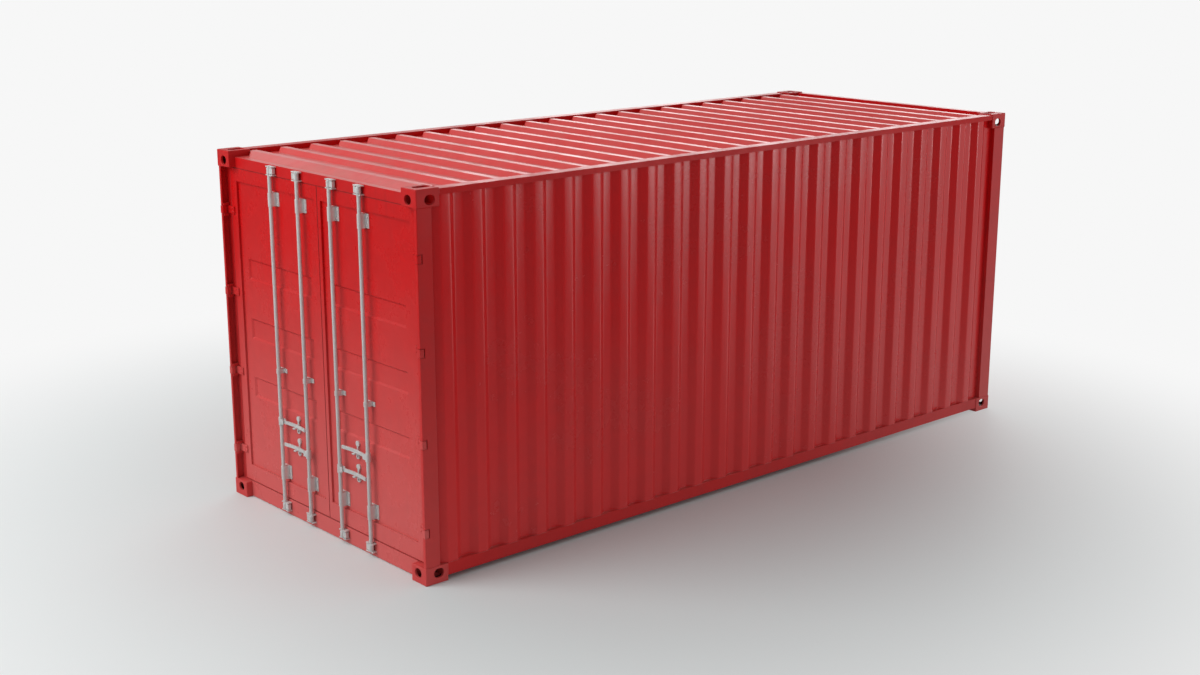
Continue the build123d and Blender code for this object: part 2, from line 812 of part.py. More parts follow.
# Right door panel with three channels pressed into it
with BuildPart() as door_panel_right:
    with BuildSketch(Plane.YZ.offset(panel_face)):
        with Locations((panel_centre, panel_middle)):
            Rectangle(panel_width, panel_height)
    extrude(amount=panel_sheet)
    channel_centre = -(channel_near + channel_far) / 2
    channel_length = channel_far - channel_near
    for shell, channel_mode in ((panel_sheet, Mode.ADD), (0, Mode.SUBTRACT)):
        with BuildSketch(Plane.YZ.offset(panel_face)):
            with Locations((channel_centre, channel_middle)):
                with GridLocations(0, channel_pitch, 1, channel_count):
                    Rectangle(channel_length + 2 * shell, channel_height + 2 * shell)
        extrude(
            amount=channel_depth + shell,
            taper=degrees(atan2(channel_slope, channel_depth)),
            mode=channel_mode,
        )

# Right door seal around the leaf's edge
with BuildPart() as door_seal_right:
    with BuildSketch(Plane.YZ.offset(door_face + seal_setback)):
        with Locations((-leaf_free_edge, leaf_middle)):
            Rectangle(
                leaf_width + seal_width,
                leaf_height + 2 * seal_height,
                align=(Align.MAX, Align.CENTER),
            )
        with Locations((-leaf_free_edge - seal_groove, leaf_middle)):
            Rectangle(
                leaf_width - seal_groove,
                leaf_height,
                align=(Align.MAX, Align.CENTER),
                mode=Mode.SUBTRACT,
            )
    extrude(amount=seal_thickness)

# Right door hinges, knuckles with bent blades that lie on the leaf
with BuildPart() as door_hinges_right:
    blade_x = door_face - blade_thickness / 2
    blade_height = knuckle_height - 2 * knuckle_end_play
    for hinge_height in hinge_heights:
        with BuildSketch(Plane.XY.offset(hinge_height - blade_height / 2)):
            with BuildLine():
                FilletPolyline(
                    (pin_x, -pin_offset),
                    (blade_x, -pin_offset),
                    (blade_x, blade_lap - door_edge),
                    radius=blade_bend,
                )
            trace(line_width=blade_thickness)
            with Locations((pin_x, -pin_offset)):
                RectangleRounded(knuckle_size, knuckle_size, knuckle_rounding)
                Circle(pin_radius + pin_play, mode=Mode.SUBTRACT)
        extrude(amount=blade_height)

# Right door rod brackets, bolted plates with a sleeve around the rod
with BuildPart() as rod_brackets_right:
    plate_face = panel_face - bracket_plate
    middle_bracket_centre = channel_middle - channel_pitch / 2 - middle_bracket_drop
    for rod_y in (-outer_rod_offset, -inner_rod_offset):
        for bracket_bottom, bracket_height in (
            (panel_bottom + bottom_bracket_margin, bottom_bracket_height),
            (middle_bracket_centre - middle_bracket_height / 2, middle_bracket_height),
            (panel_top - top_bracket_margin - top_bracket_height, top_bracket_height),
        ):
            with BuildSketch(Plane.XY.offset(bracket_bottom)):
                with Locations((panel_face, rod_y)):
                    Rectangle(
                        bracket_plate, 2 * bracket_half_width, align=(Align.MAX, Align.CENTER)
                    )
                with Locations((rod_x, rod_y)):
                    Circle(bracket_sleeve)
                    Rectangle(
                        plate_face - rod_x, 2 * bracket_sleeve, align=(Align.MIN, Align.CENTER)
                    )
                    Circle(rod_radius + bracket_play, mode=Mode.SUBTRACT)
            extrude(amount=bracket_height)
            if bracket_height > 2 * bracket_bolt_margin:
                bolt_rise = bracket_height - 2 * bracket_bolt_margin
                with BuildSketch(Plane.YZ.offset(plate_face - bracket_bolt_height)):
                    with Locations((rod_y, bracket_bottom + bracket_height / 2)):
                        with GridLocations(2 * bracket_bolt_offset, bolt_rise, 2, 2):
                            RegularPolygon(bracket_bolt_radius, 6)
                extrude(amount=bracket_bolt_height)

# Right door catches, each with a lobe, a ring and a ledge under the handle
with BuildPart() as handle_catches_right:
    catch_face = panel_face - catch_plate
    for handle_z in (upper_handle_height, lower_handle_height):
        with BuildSketch(Plane.YZ.offset(catch_face)):
            with Locations((-catch_offset, handle_z + catch_lobe_rise)):
                Circle(catch_lobe_radius)
            with Locations((-catch_offset, handle_z)):
                Rectangle(catch_waist, catch_lobe_rise + catch_ring_drop)
            with Locations((-catch_offset, handle_z - catch_ring_drop)):
                Circle(catch_ring_radius)
                Circle(catch_ring_hole, mode=Mode.SUBTRACT)
        extrude(amount=catch_plate)
        ledge_top = handle_z - handle_height / 2 - ledge_gap
        with BuildSketch(Plane.XY.offset(ledge_top - ledge_sheet)):
            with Locations((catch_face, -catch_offset)):
                Rectangle(ledge_reach, ledge_width, align=(Align.MAX, Align.CENTER))
        extrude(amount=ledge_sheet)

# Both leaves carry the same pieces, the left ones mirrored
for right_piece, piece_name in (
    (door_frame_right, "door_frame"),
    (door_panel_right, "door_panel"),
    (door_seal_right, "door_seal"),
    (door_hinges_right, "door_hinges"),
    (rod_brackets_right, "rod_brackets"),
    (handle_catches_right, "handle_catches"),
):
    right_piece.part.label = f"{piece_name}_right"
    export_step(right_piece.part, f"parts/{piece_name}_right.step")
    with BuildPart() as left_piece:
        add(right_piece.part)
        mirror(about=Plane.XZ, mode=Mode.REPLACE)
    left_piece.part.label = f"{piece_name}_left"
    export_step(left_piece.part, f"parts/{piece_name}_left.step")

# Four lock rods and their handles, numbered from the left
handle_reach = outer_rod_offset - inner_rod_offset - handle_tip_clearance
rod_bottom = bottom_keeper_centre - rod_tail
rod_top = top_keeper_centre + rod_tip
for rod_number, (rod_y, reach_sign, handle_z) in enumerate(rod_places, 1):
    pivot_y = rod_y + reach_sign * handle_pivot_offset
    arm_align = (Align.CENTER, Align.MIN if reach_sign > 0 else Align.MAX)
    # rod with a cam at each end and a forked hub for the handle
    with BuildPart() as lock_rod:
        with BuildSketch(Plane.XY.offset(rod_bottom)):
            with Locations((rod_x, rod_y)):
                Circle(rod_radius)
        extrude(amount=rod_top - rod_bottom)
        for keeper_centre in (bottom_keeper_centre, top_keeper_centre):
            with BuildSketch(Plane.XY.offset(keeper_centre - cam_height / 2)):
                with Locations((rod_x, rod_y)):
                    Circle(cam_radius)
                    Rectangle(cam_arm_thickness, cam_reach, align=arm_align)
                hook_y = rod_y + reach_sign * (cam_reach - cam_hook_length)
                with Locations((rod_x, hook_y)):
                    Rectangle(
                        cam_arm_thickness / 2 + cam_hook_depth,
                        cam_hook_length,
                        align=(Align.MIN, arm_align[1]),
                    )
            extrude(amount=cam_height)
        with BuildSketch(Plane.XY.offset(handle_z - hub_height / 2)):
            with Locations((rod_x, rod_y)):
                Circle(hub_radius)
        extrude(amount=hub_height)
        fork_half_gap = handle_eye_thickness / 2 + handle_play
        for fork_x in (rod_x - fork_half_gap - fork_sheet, rod_x + fork_half_gap):
            with BuildSketch(Plane.YZ.offset(fork_x)):
                with Locations((rod_y, handle_z)):
                    Rectangle(
                        fork_reach, fork_height, align=(arm_align[1], Align.CENTER)
                    )
            extrude(amount=fork_sheet)
        with BuildSketch(Plane.YZ.offset(rod_x - fork_half_gap)):
            with Locations((pivot_y, handle_z)):
                Circle(handle_pin_radius)
        extrude(amount=2 * fork_half_gap)
        hollow_bottom = bottom_keeper_centre + cam_height
        hollow_top = top_keeper_centre - cam_height
        with BuildSketch(Plane.XY.offset(hollow_bottom)):
            with Locations((rod_x, rod_y)):
                Circle(rod_radius - rod_wall)
        extrude(amount=hollow_top - hollow_bottom, mode=Mode.SUBTRACT)
    lock_rod.part.label = f"lock_rod_{rod_number}"
    export_step(lock_rod.part, f"parts/lock_rod_{rod_number}.step")

    # bowed flat bar with an eye at the hub's pin
    with BuildPart() as lock_handle:
        tip_y = rod_y + reach_sign * handle_reach
        with BuildSketch(Plane.XY.offset(handle_z - handle_height / 2)):
            with BuildLine():
                ThreePointArc(
                    (rod_x, pivot_y),
                    (rod_x + handle_bow, (pivot_y + tip_y) / 2),
                    (rod_x - handle_tip_setback, tip_y),
                )
            trace(line_width=handle_thickness)
        extrude(amount=handle_height)
        with BuildSketch(Plane.YZ.offset(rod_x - handle_eye_thickness / 2)):
            with Locations((pivot_y, handle_z)):
                Circle(handle_eye_radius)
        extrude(amount=handle_eye_thickness)
        with BuildSketch(Plane.YZ.offset(rod_x - handle_eye_thickness)):
            with Locations((pivot_y, handle_z)):
                Circle(handle_pin_radius + handle_pin_play)
        extrude(amount=2 * handle_eye_thickness, mode=Mode.SUBTRACT)
    lock_handle.part.label = f"lock_handle_{rod_number}"
    export_step(lock_handle.part, f"parts/lock_handle_{rod_number}.step")
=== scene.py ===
import math

import bmesh
import bpy
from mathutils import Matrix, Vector


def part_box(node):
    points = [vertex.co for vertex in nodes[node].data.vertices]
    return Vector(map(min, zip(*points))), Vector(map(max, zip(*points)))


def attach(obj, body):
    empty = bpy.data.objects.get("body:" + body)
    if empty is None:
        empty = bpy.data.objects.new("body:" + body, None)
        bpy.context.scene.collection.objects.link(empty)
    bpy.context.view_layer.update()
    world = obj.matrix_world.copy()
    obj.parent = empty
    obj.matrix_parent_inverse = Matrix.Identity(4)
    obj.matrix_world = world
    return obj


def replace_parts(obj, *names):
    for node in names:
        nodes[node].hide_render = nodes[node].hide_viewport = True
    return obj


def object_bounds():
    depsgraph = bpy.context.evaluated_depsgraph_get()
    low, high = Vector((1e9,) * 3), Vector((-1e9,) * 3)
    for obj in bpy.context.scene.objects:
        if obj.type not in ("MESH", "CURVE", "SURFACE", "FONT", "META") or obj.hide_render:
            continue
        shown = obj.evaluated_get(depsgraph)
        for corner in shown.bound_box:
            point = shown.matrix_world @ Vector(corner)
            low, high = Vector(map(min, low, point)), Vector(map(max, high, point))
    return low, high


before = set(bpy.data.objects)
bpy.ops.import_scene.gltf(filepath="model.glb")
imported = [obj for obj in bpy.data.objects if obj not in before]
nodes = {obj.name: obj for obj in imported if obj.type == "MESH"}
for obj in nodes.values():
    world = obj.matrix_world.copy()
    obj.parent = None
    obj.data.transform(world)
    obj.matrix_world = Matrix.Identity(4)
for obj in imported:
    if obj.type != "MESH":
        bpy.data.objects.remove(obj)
cad_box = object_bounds()

# Paint, metal, rubber and wood colours, linear
RED = (0.60, 0.006, 0.007, 1)
WALL_RED = (0.70, 0.006, 0.008, 1)
DEEP_RED = (0.34, 0.006, 0.007, 1)
# A paler, pinker red for the roof, which paints in the sky's sheen on it
ROOF_SHEEN_RED = (0.72, 0.058, 0.055, 1)
# Pale red painted onto lower faces, standing for the floor's reflection in them
FLOOR_REFLECTION_RED = (0.72, 0.22, 0.21, 1)
PRIMER = (0.20, 0.10, 0.075, 1)
ZINC = (0.80, 0.79, 0.78, 1)
DARK_ZINC = (0.56, 0.555, 0.55, 1)
SEAL_RED = (0.40, 0.006, 0.007, 1)
DEEP_SEAL_RED = (0.20, 0.005, 0.006, 1)
PLY_LIGHT = (0.36, 0.20, 0.10, 1)
PLY_DARK = (0.17, 0.085, 0.042, 1)
DUST = (0.38, 0.33, 0.28, 1)
# Near-black painted into the castings' hollows as their shade
CASTING_HOLLOW_SHADE = (0.02, 0.004, 0.004, 1)

# Paint effects: how far wear reaches past a soft edge, and how much rougher dust is
WEAR_REACH = 1.3
DUST_ROUGHNESS = 0.4

# Floor, which fades into the backdrop away from the container's near end
FLOOR_PALE = (0.735, 0.80, 0.80, 1)
FLOOR_HALF_SIZE = 120
FADE_CENTRE = (-1.15, -0.3, 0)
FADE_START, FADE_END = 1.9, 6.9

# Light of the sky, level of the backdrop, and what reflections see away from it and towards it
SKY_LIGHT = 0.38
BACKDROP_LEVEL = 0.93
BACKDROP_WHITE = (BACKDROP_LEVEL, BACKDROP_LEVEL, BACKDROP_LEVEL, 1)
SKY_AWAY, SKY_TOWARDS = 0.09, 0.89
FLOOR_AWAY, FLOOR_TOWARDS = 0.16, 0.78
SKY_BACKDROP_WAY = (0.85, 0.45, 0.2)
FLOOR_BACKDROP_WAY = (0.88, 0.47, 0)

# Camera at the photograph's place, found from the container's corners
CAMERA_PLACE = (-8.846662, -9.478137, 4.233965)
CAMERA_AZIMUTH, CAMERA_ELEVATION = math.radians(-41.533), math.radians(14.343)
LENS, SENSOR_WIDTH, CLIP_END = 50, 36, 500

# Wall thicknesses of a casting, in X, Y and Z, towards the container's middle and away from it
CASTING_WALLS = ((0.0125, 0.0155), (0.0115, 0.0155), (0.0155, 0.0275))

# Pressed sheets of the walls
SHEET = 0.002
OUTER_FLAT = 0.074
SLOPE = 0.052
BEND_RADIUS = 0.036
BEND_STEPS = 4
SIDE_FLATS, SIDE_STRIPS = 23, (0.016, 0.1064)
FRONT_FLATS, FRONT_STRIPS = 9, (0.0668, 0.0668)

# Weld beads: how far their middle lies off the steel, and how far they end short of an edge
WELD_RADIUS = 0.003
WELD_OFF = 0.0005
WELD_SHORT = 0.001
WELD_RIPPLE = 0.005
FOOT_RADIUS = 0.0022
FOOT_OFF = 0.001
FOOT_RIPPLE = 0.012
BEAD_SIDES = 6
RIPPLE_SHARE = 0.82
NEARLY_UP = Vector((0.013, 0.017, 1))

# Rivet and screw heads: shares of the radius and of the height, from foot to top
HEAD_PROFILE = ((1.0, -0.25), (1.0, 0.25), (0.82, 0.72), (0.45, 0.95))
RIVET_RADIUS, RIVET_HEIGHT, RIVET_SIDES = 0.0055, 0.0032, 12
SCREW_RADIUS, SCREW_HEIGHT, SCREW_SIDES = 0.006, 0.001, 10

# Seal lips, measured from the leaf frame's edges and front face
LIP_NEAR, LIP_FAR = 0.003, 0.008
LIP_LOW, LIP_HIGH = 0.0055, 0.006
LIP_UNDER = 0.001
LIP_SET_BACK, LIP_THICKNESS = 0.0005, 0.007
LIP_EDGE = 0.001

# Hinge blades on a leaf, and the two columns and rows of rivets on each
HINGES = 4
BLADE_THICKNESS, BLADE_HEIGHT = 0.008, 0.055
RIVET_COLUMNS = (0.010, 0.030)
RIVET_RISE = 0.014

# Floor panels on crossmembers, with two screws in each panel at each crossmember
CROSSMEMBERS, FLANGE_WIDTH = 19, 0.045
PANELS, PANEL_PITCH, HALF_PANEL = 8, 0.2888, 0.1441
SCREW_OFFSET = 0.09

SIDES = (("left", 1), ("right", -1))


def span(node_name, axis):
    """A CAD node's lowest and highest place along an axis."""
    low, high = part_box(node_name)
    index = "xyz".index(axis)
    return low[index], high[index]


wall_start, wall_end = span("side_wall_left", "x")
wall_inner, wall_outer = span("side_wall_left", "y")
wall_foot, wall_top = span("side_wall_left", "z")
casting_inner = span("corner_casting_front_left_top", "x")[0]
low_casting_top = span("corner_casting_front_left_bottom", "z")[1]
high_casting_foot = span("corner_casting_front_left_top", "z")[0]
press_depth = wall_outer - wall_inner - SHEET


def node(tree, kind, values=None, **settings):
    """A node of that kind, with its settings and the values of its unlinked inputs."""
    made = tree.nodes.new(kind)
    for key, value in settings.items():
        setattr(made, key, value)
    for key, value in (values or {}).items():
        made.inputs[key].default_value = value
    return made


def object_place(tree):
    return node(tree, "ShaderNodeTexCoord").outputs["Object"]


def placed(tree, scale, stretch=(1, 1, 1)):
    """Object coordinates times a scale, so that a pattern keeps its real size."""
    mapping = node(tree, "ShaderNodeMapping", {"Scale": [scale * share for share in stretch]})
    tree.links.new(object_place(tree), mapping.inputs["Vector"])
    return mapping.outputs["Vector"]


def noise(tree, scale, detail, roughness=0.5, distortion=0.0, stretch=(1, 1, 1)):
    """Noise with a scale in waves per metre, as a value from 0 to 1."""
    values = {"Scale": 1, "Detail": detail, "Roughness": roughness, "Distortion": distortion}
    made = node(tree, "ShaderNodeTexNoise", values)
    tree.links.new(placed(tree, scale, stretch), made.inputs["Vector"])
    return made.outputs["Fac"]


def axes(tree, vector):
    """A vector's outputs X, Y and Z."""
    made = node(tree, "ShaderNodeSeparateXYZ")
    tree.links.new(vector, made.inputs[0])
    return made.outputs


def reach(tree, vector, direction):
    """How far a vector reaches in a direction."""
    made = node(tree, "ShaderNodeVectorMath", {1: direction}, operation="DOT_PRODUCT")
    tree.links.new(vector, made.inputs[0])
    return made.outputs["Value"]


def ramp(tree, source, low, high, to_low=0.0, to_high=1.0):
    """Maps a value from low..high softly to to_low..to_high."""
    limits = {"From Min": low, "From Max": high, "To Min": to_low, "To Max": to_high}
    made = node(tree, "ShaderNodeMapRange", limits, interpolation_type="SMOOTHSTEP")
    tree.links.new(source, made.inputs["Value"])
    return made.outputs["Result"]


def spread(tree, source, low, high):
    """Maps a value from 0..1 evenly to low..high."""
    made = node(tree, "ShaderNodeMapRange", {"To Min": low, "To Max": high})
    tree.links.new(source, made.inputs["Value"])
    return made.outputs["Result"]


def maths(tree, operation, first, second=0.0):
    """A Math node's output for two numbers or sockets."""
    made = node(tree, "ShaderNodeMath", operation=operation)
    for index, value in enumerate((first, second)):
        if isinstance(value, (int, float)):
            made.inputs[index].default_value = value
        else:
            tree.links.new(value, made.inputs[index])
    return made.outputs[0]


def mixed(tree, factor, first, second):
    """The first colour turned towards the second by a factor."""
    made = node(tree, "ShaderNodeMix", data_type="RGBA")
    for name, kind, value in (("Factor", "VALUE", factor), ("A", "RGBA", first), ("B", "RGBA", second)):
        socket = next(s for s in made.inputs if s.name == name and s.type == kind)
        if isinstance(value, tuple):
            socket.default_value = value
        else:
            tree.links.new(value, socket)
    return next(s for s in made.outputs if s.type == "RGBA")


def new_group(name, inputs, outputs):
    """An empty shader node group with its inputs and outputs, and the two nodes that hold them."""
    tree = bpy.data.node_groups.new(name, "ShaderNodeTree")
    kinds = {"value": "NodeSocketFloat", "colour": "NodeSocketColor"}
    for socket_name, kind, default in inputs:
        socket = tree.interface.new_socket(socket_name, in_out="INPUT", socket_type=kinds[kind])
        socket.default_value = default
    for socket_name, kind in outputs:
        tree.interface.new_socket(socket_name, in_out="OUTPUT", socket_type=kinds[kind])
    return tree, tree.nodes.new("NodeGroupInput"), tree.nodes.new("NodeGroupOutput")


def give_mask(tree, given, result, mask):
    """Puts out the mask times the group's Amount."""
    tree.links.new(maths(tree, "MULTIPLY", mask, given.outputs["Amount"]), result.inputs["Mask"])


def make_edge_wear():
    """A mask along sharp edges, broken up by noise."""
    inputs = [("Radius", "value", 0.004), ("Amount", "value", 0.5)]
    tree, given, result = new_group("edge_wear", inputs, [("Mask", "value")])
    bevel = node(tree, "ShaderNodeBevel", samples=4)
    tree.links.new(given.outputs["Radius"], bevel.inputs["Radius"])
    geometry = node(tree, "ShaderNodeNewGeometry")
    likeness = node(tree, "ShaderNodeVectorMath", operation="DOT_PRODUCT")
    tree.links.new(bevel.outputs["Normal"], likeness.inputs[0])
    tree.links.new(geometry.outputs["Normal"], likeness.inputs[1])
    edge = ramp(tree, maths(tree, "SUBTRACT", 1, likeness.outputs["Value"]), 0.02, 0.30)
    broken = ramp(tree, noise(tree, 14, detail=4), 0.50, 0.66)
    give_mask(tree, given, result, maths(tree, "MULTIPLY", edge, broken))
    return tree


def make_uneven_colour():
    """Slow and fine variation of one colour towards another."""
    inputs = [("Colour", "colour", RED), ("Other", "colour", DEEP_RED), ("Amount", "value", 0.3)]
    tree, given, result = new_group("uneven_colour", inputs, [("Colour", "colour"), ("Value", "value")])
    slow = noise(tree, 0.9, detail=3, roughness=0.55)
    fine = noise(tree, 9, detail=5, roughness=0.6)
    share = ramp(tree, maths(tree, "ADD", slow, maths(tree, "MULTIPLY", fine, 0.5)), 0.55, 1.0)
    factor = maths(tree, "MULTIPLY", share, given.outputs["Amount"])
    colour = mixed(tree, factor, given.outputs["Colour"], given.outputs["Other"])
    tree.links.new(colour, result.inputs["Colour"])
    tree.links.new(share, result.inputs["Value"])
    return tree


def make_run_off():
    """A mask of faint streaks that run down upright faces, in patches."""
    tree, given, result = new_group("run_off", [("Amount", "value", 0.3)], [("Mask", "value")])
    streaks = ramp(tree, noise(tree, 22, detail=3, roughness=0.6, stretch=(1, 1, 0.03)), 0.52, 0.78)
    patches = ramp(tree, noise(tree, 1.4, detail=2), 0.4, 0.7)
    give_mask(tree, given, result, maths(tree, "MULTIPLY", streaks, patches))
    return tree


def make_painted_floor_reflection():
    """A mask that grows towards the ground, broken up a little, where a pale red paints in the floor's
    reflection.
    """
    inputs = [("Top", "value", 2.2), ("Amount", "value", 0.2)]
    tree, given, result = new_group("painted_floor_reflection", inputs, [("Mask", "value")])
    rise = maths(tree, "DIVIDE", axes(tree, object_place(tree))["Z"], given.outputs["Top"])
    uneven = maths(tree, "MULTIPLY", noise(tree, 3, detail=3), 0.15)
    depth = maths(tree, "ADD", maths(tree, "SUBTRACT", 1, rise), uneven)
    give_mask(tree, given, result, ramp(tree, depth, 0.05, 1.1))
    return tree


def make_settled_dust():
    """A mask for dust on faces that look up."""
    tree, given, result = new_group("settled_dust", [("Amount", "value", 0.3)], [("Mask", "value")])
    geometry = node(tree, "ShaderNodeNewGeometry")
    upward = ramp(tree, axes(tree, geometry.outputs["Normal"])["Z"], 0.6, 1.0)
    patches = ramp(tree, noise(tree, 5, detail=4), 0.35, 0.75)
    give_mask(tree, given, result, maths(tree, "MULTIPLY", upward, patches))
    return tree


def make_painted_cavity_shade():
    """A mask for the hollow inside of the corner castings, where a near-black colour paints in their
    shade.
    """
    tree, given, result = new_group("painted_cavity_shade", [("Amount", "value", 0.9)], [("Mask", "value")])
    place = axes(tree, object_place(tree))
    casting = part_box("corner_casting_front_left_top")
    mask = 1
    for axis, (inner_wall, outer_wall) in enumerate(CASTING_WALLS):
        container_middle = (cad_box[0][axis] + cad_box[1][axis]) / 2
        low = casting[0][axis] + inner_wall - container_middle
        high = casting[1][axis] - outer_wall - container_middle
        outward = maths(tree, "ABSOLUTE", maths(tree, "SUBTRACT", place[axis], container_middle))
        off_middle = maths(tree, "ABSOLUTE", maths(tree, "SUBTRACT", outward, (low + high) / 2))
        mask = maths(tree, "MULTIPLY", mask, maths(tree, "LESS_THAN", off_middle, (high - low) / 2))
    give_mask(tree, given, result, mask)
    return tree


def make_spray_texture():
    """The fine waviness of sprayed paint, as a height."""
    tree, given, result = new_group("spray_texture", [("Size", "value", 90.0)], [("Height", "value")])
    waves = node(tree, "ShaderNodeTexNoise", {"Detail": 2, "Roughness": 0.5})
    tree.links.new(object_place(tree), waves.inputs["Vector"])
    tree.links.new(given.outputs["Size"], waves.inputs["Scale"])
    tree.links.new(waves.outputs["Fac"], result.inputs["Height"])
    return tree


edge_wear = make_edge_wear()
uneven_colour = make_uneven_colour()
run_off = make_run_off()
painted_floor_reflection = make_painted_floor_reflection()
settled_dust = make_settled_dust()
painted_cavity_shade = make_painted_cavity_shade()
spray_texture = make_spray_texture()


def effect(tree, group, **values):
    """Places an effect's group in a material and gives its outputs."""
    made = tree.nodes.new("ShaderNodeGroup")
    made.node_tree = group
    for key, value in values.items():
        made.inputs[key].default_value = value
    return made.outputs


def covered(tree, shown, colour, group, amount, **values):
    """The shown colour under another colour, where an effect's mask says so."""
    if amount == 0:
        return shown
    return mixed(tree, effect(tree, group, Amount=amount, **values)["Mask"], shown, colour)


def new_material(name):
    material = bpy.data.materials.new(name)
    material.use_nodes = True
    tree = material.node_tree
    tree.nodes.clear()
    output = tree.nodes.new("ShaderNodeOutputMaterial")
    shader = tree.nodes.new("ShaderNodeBsdfPrincipled")
    tree.links.new(shader.outputs["BSDF"], output.inputs["Surface"])
    return material, tree, shader


def bumped(tree, shader, height, strength, distance, edge):
    """Soft edges from a bevel of that radius, with the height on top."""
    bevel = node(tree, "ShaderNodeBevel", {"Radius": edge}, samples=4)
    bump = node(tree, "ShaderNodeBump", {"Strength": strength, "Distance": distance})
    tree.links.new(height, bump.inputs["Height"])
    tree.links.new(bevel.outputs["Normal"], bump.inputs["Normal"])
    tree.links.new(bump.outputs["Normal"], shader.inputs["Normal"])


def paint(
    name, colour, other=DEEP_RED, variation=0.35, wear=0.25, streaks=0.25, dust=0.2,
    roughness=(0.30, 0.46), grain=60, edge=0.0015, floor_reflection=0.0, ior=1.4, cavity_shade=0.0,
):
    """Sprayed paint with its colour variation, run-off, a painted reflection of the floor towards the
    ground, dust, wear, and near-black painted shade in the casting hollows.
    """
    material, tree, shader = new_material(name)
    shader.inputs["IOR"].default_value = ior
    base = effect(tree, uneven_colour, Colour=colour, Other=other, Amount=variation)
    dusty = effect(tree, settled_dust, Amount=dust)["Mask"]
    shown = covered(tree, base["Colour"], DEEP_RED, run_off, streaks)
    # Pale red painted towards the ground, as the floor's reflection
    shown = covered(tree, shown, FLOOR_REFLECTION_RED, painted_floor_reflection, floor_reflection)
    shown = mixed(tree, dusty, shown, DUST)
    shown = covered(tree, shown, PRIMER, edge_wear, wear, Radius=edge * WEAR_REACH)
    # Near-black painted into the casting hollows, as their shade
    shown = covered(tree, shown, CASTING_HOLLOW_SHADE, painted_cavity_shade, cavity_shade)
    tree.links.new(shown, shader.inputs["Base Color"])
    rough = spread(tree, base["Value"], *roughness)
    rough = maths(tree, "ADD", rough, maths(tree, "MULTIPLY", dusty, DUST_ROUGHNESS))
    tree.links.new(rough, shader.inputs["Roughness"])
    height = effect(tree, spray_texture, Size=grain)["Height"]
    bumped(tree, shader, height, strength=0.18, distance=0.002, edge=edge)
    return material


# The amounts of pale red towards the ground below paint in the floor's reflection on lower faces
red_paint = paint("red_paint", RED, floor_reflection=0.22)
# The castings' near-black amount paints shade into their hollows
casting_paint = paint(
    "casting_paint", RED, variation=0.45, wear=0.4, roughness=(0.42, 0.6), grain=160, edge=0.003,
    floor_reflection=0.25, cavity_shade=0.95,
)
door_paint = paint(
    "door_paint", RED, variation=0.3, wear=0.1, roughness=(0.24, 0.38), edge=0.002, floor_reflection=0.50
)
rail_paint = paint("rail_paint", RED, floor_reflection=0.06)
top_rail_paint = paint("top_rail_paint", RED, dust=0.05, ior=1.25)
# The roof's pinker red paints in the sky's sheen on it
roof_paint = paint(
    "roof_paint", ROOF_SHEEN_RED, RED, variation=0.3, wear=0.1, roughness=(0.28, 0.4), edge=0.002, ior=1.5
)
wall_paint = paint(
    "wall_paint", WALL_RED, variation=0.18, wear=0, streaks=0.08, roughness=(0.20, 0.30), edge=0.001,
    floor_reflection=0.14, ior=1.5,
)


def galvanised_material():
    """Zinc with faint crystals, each a little darker or rougher than the next."""
    material, tree, shader = new_material("galvanised")
    shader.inputs["Metallic"].default_value = 0.35
    crystals = node(tree, "ShaderNodeTexVoronoi", {"Scale": 1})
    tree.links.new(placed(tree, 70), crystals.inputs["Vector"])
    split = node(tree, "ShaderNodeSeparateColor")
    tree.links.new(crystals.outputs["Color"], split.inputs[0])
    base = effect(tree, uneven_colour, Colour=ZINC, Other=DARK_ZINC, Amount=0.4)
    darker = maths(tree, "MULTIPLY", split.outputs["Red"], 0.22)
    tree.links.new(mixed(tree, darker, base["Colour"], DARK_ZINC), shader.inputs["Base Color"])
    tree.links.new(spread(tree, split.outputs["Green"], 0.32, 0.52), shader.inputs["Roughness"])
    height = effect(tree, spray_texture, Size=220)["Height"]
    bumped(tree, shader, height, strength=0.12, distance=0.001, edge=0.0015)
    return material


def rubber_material():
    """Seal rubber, painted over with the doors."""
    material, tree, shader = new_material("seal_rubber")
    base = effect(tree, uneven_colour, Colour=SEAL_RED, Other=DEEP_SEAL_RED, Amount=0.6)
    tree.links.new(base["Colour"], shader.inputs["Base Color"])
    tree.links.new(spread(tree, base["Value"], 0.55, 0.8), shader.inputs["Roughness"])
    height = effect(tree, spray_texture, Size=300)["Height"]
    bumped(tree, shader, height, strength=0.2, distance=0.001, edge=0.002)
    return material


def plywood_material():
    """Floor plywood, with its grain along the container."""
    material, tree, shader = new_material("floor_plywood")
    grain = noise(tree, 6, detail=6, roughness=0.62, distortion=0.4, stretch=(0.12, 1, 1))
    fibres = noise(tree, 60, detail=3, stretch=(0.03, 1, 1))
    share = ramp(tree, maths(tree, "ADD", grain, maths(tree, "MULTIPLY", fibres, 0.5)), 0.5, 1.0)
    shown = covered(tree, mixed(tree, share, PLY_LIGHT, PLY_DARK), DUST, settled_dust, 0.35)
    tree.links.new(shown, shader.inputs["Base Color"])
    tree.links.new(spread(tree, share, 0.45, 0.7), shader.inputs["Roughness"])
    bumped(tree, shader, fibres, strength=0.25, distance=0.001, edge=0.002)
    return material


galvanised = galvanised_material()
seal_rubber = rubber_material()
floor_plywood = plywood_material()

